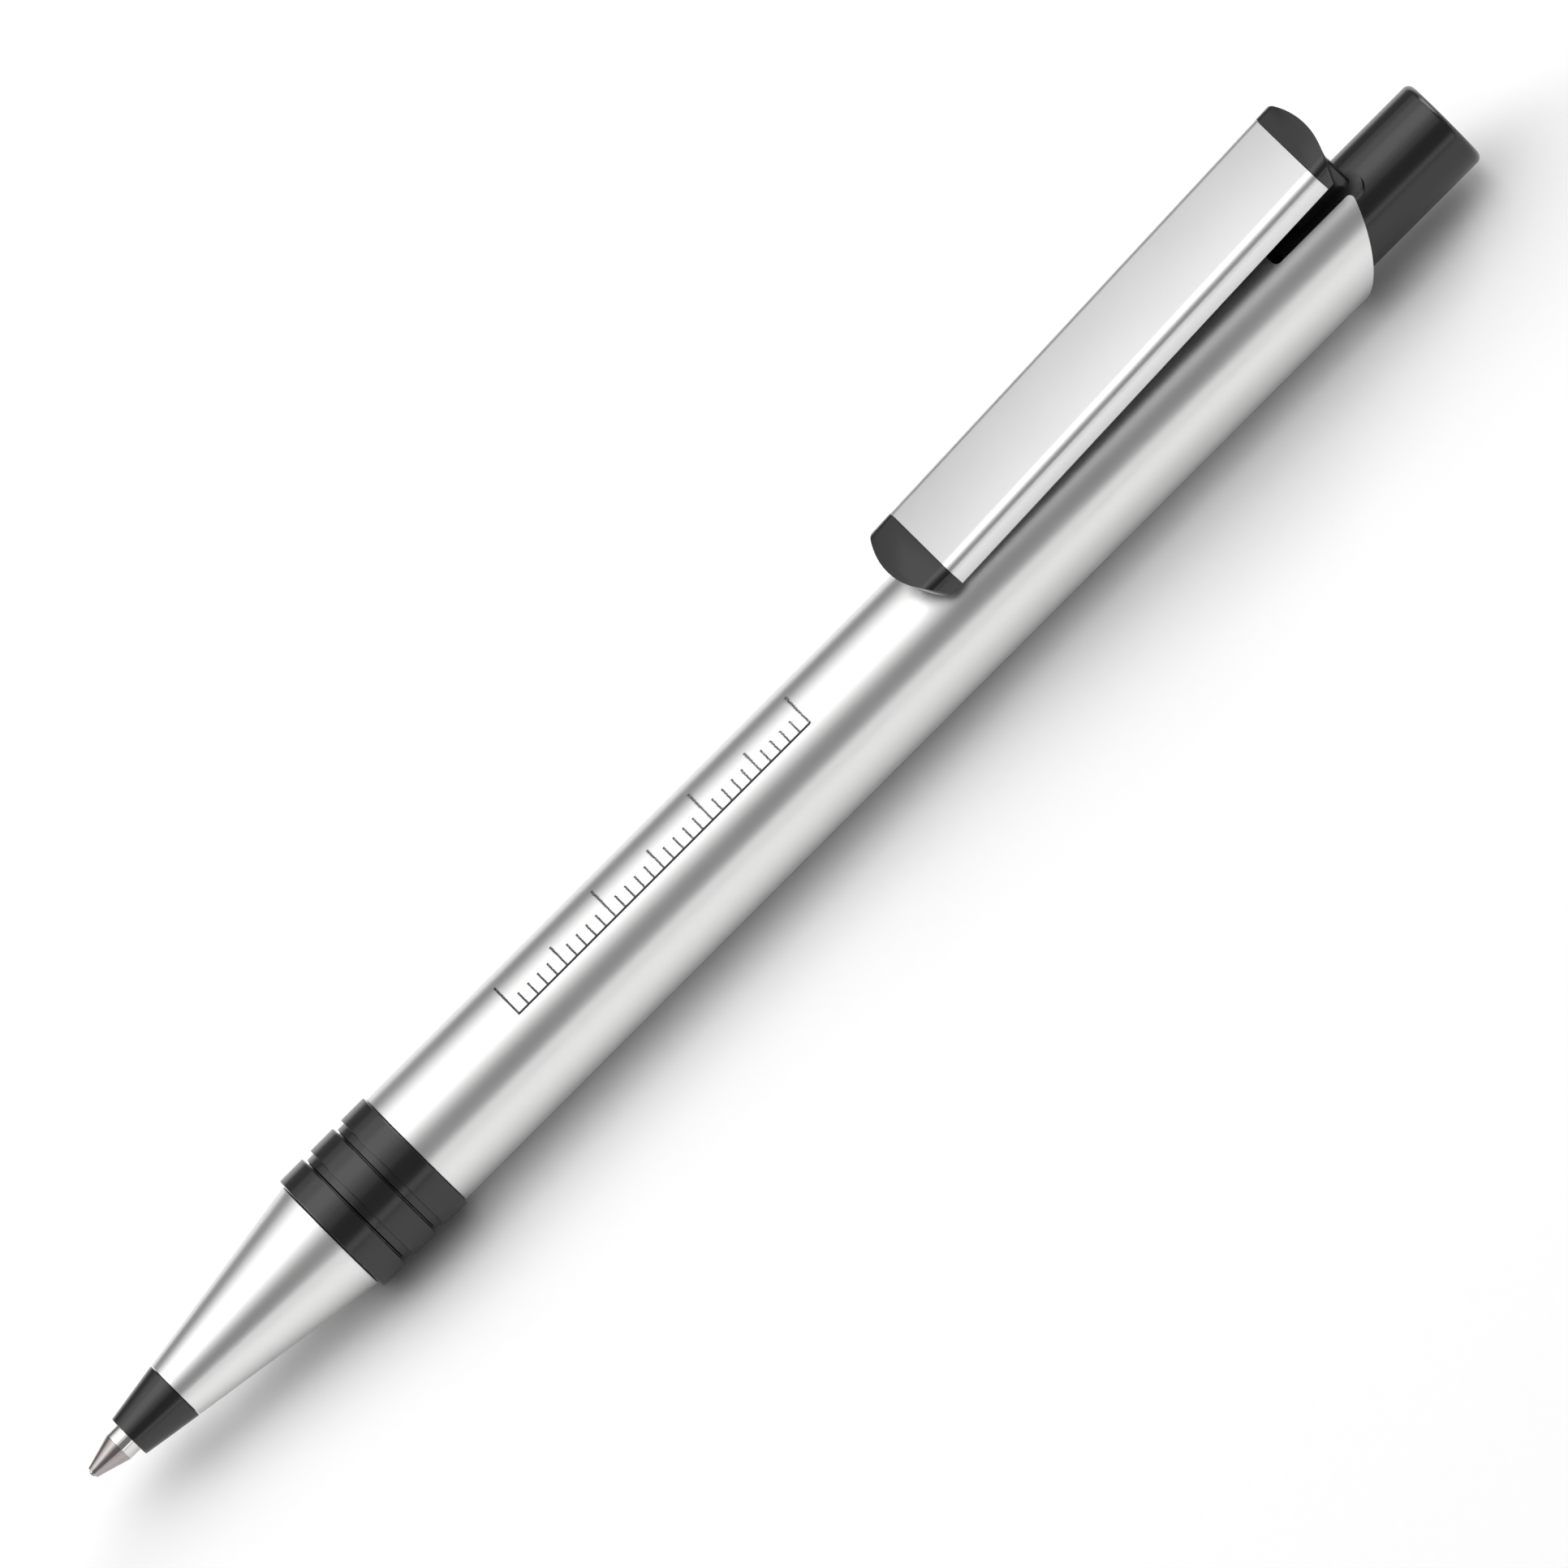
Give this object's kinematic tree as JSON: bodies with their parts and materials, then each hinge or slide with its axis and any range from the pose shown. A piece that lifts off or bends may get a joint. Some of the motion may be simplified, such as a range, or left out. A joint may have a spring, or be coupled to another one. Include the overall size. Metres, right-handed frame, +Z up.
{
  "type": "retractable ballpoint pen",
  "caption": "Retractable ballpoint pen with a satin metal barrel and cone, a ribbed black grip ring, a metal-faced spring clip and a round push button, shown with its tip out.",
  "frame": {"origin": "half way along the pen, on the surface that it lies on, under its axis", "axes": "+X along the pen from the writing point to the button, +Y across the pen, +Z up through the clip"},
  "size_m": [0.14, 0.0108, 0.0155],
  "materials": {
    "satin_silver": "satin silver",
    "brushed_plate": "fine satin",
    "black_plastic": "satin-gloss moulded",
    "natural_plastic": "moulded",
    "refill_steel": "drawn tube",
    "nickel_silver": "turned and polished",
    "carbide": "polished",
    "ink": "wet paste",
    "spring_steel": "drawn wire"
  },
  "bodies": {
    "barrel": {"barrel_tube": "satin_silver", "rear_sleeve": "black_plastic", "cam_guide": "natural_plastic", "thread_coupling": "black_plastic"},
    "ring": {"grip_ring": "black_plastic"},
    "nose": {"front_cone": "satin_silver", "nose_tip": "black_plastic", "cone_thread_bush": "black_plastic", "return_spring": "spring_steel"},
    "button": {"push_button": "black_plastic", "thrust_cam": "natural_plastic"},
    "refill": {"refill_tube": "refill_steel", "refill_tip": "nickel_silver", "writing_ball": "carbide", "ink_column": "ink", "refill_plug": "natural_plastic"},
    "rotor": {"rotor_cam": "natural_plastic"},
    "clip": {"clip_core": "black_plastic", "clip_plate": "brushed_plate"}
  },
  "joints": [
    {"name": "button_press", "type": "slide", "parent": "barrel", "child": "button", "axis": [-1, 0, 0], "range_m": [-0.005, 0.0012]},
    {"name": "refill_slide", "type": "slide", "parent": "barrel", "child": "refill", "axis": [-1, 0, 0], "range_m": [-0.005, 0.0012], "deforming": ["return_spring"]},
    {"name": "rotor_turn", "type": "hinge", "parent": "refill", "child": "rotor", "pos_m": [0.0328, 0, 0.0054], "axis": [1, 0, 0], "continuous": true},
    {"name": "nose_advance", "type": "slide", "parent": "barrel", "child": "ring", "axis": [-1, 0, 0], "range_m": [0, 0.00375]},
    {"name": "nose_unscrew", "type": "hinge", "parent": "ring", "child": "nose", "pos_m": [-0.0551, 0, 0.0054], "axis": [-1, 0, 0], "range_deg": [0, 1800], "deforming": ["return_spring"]},
    {"name": "clip_flex", "type": "hinge", "parent": "barrel", "child": "clip", "pos_m": [0.06161, 0, 0.01339], "axis": [0, 1, 0], "range_deg": [0, 5], "stiffness_Nm_per_rad": 0.6}
  ],
  "couplings": [
    {"joint": "refill_slide", "follows": "button_press", "ratio": 1},
    {"joint": "nose_advance", "follows": "nose_unscrew", "m_per_rad": 0.00011937}
  ]
}
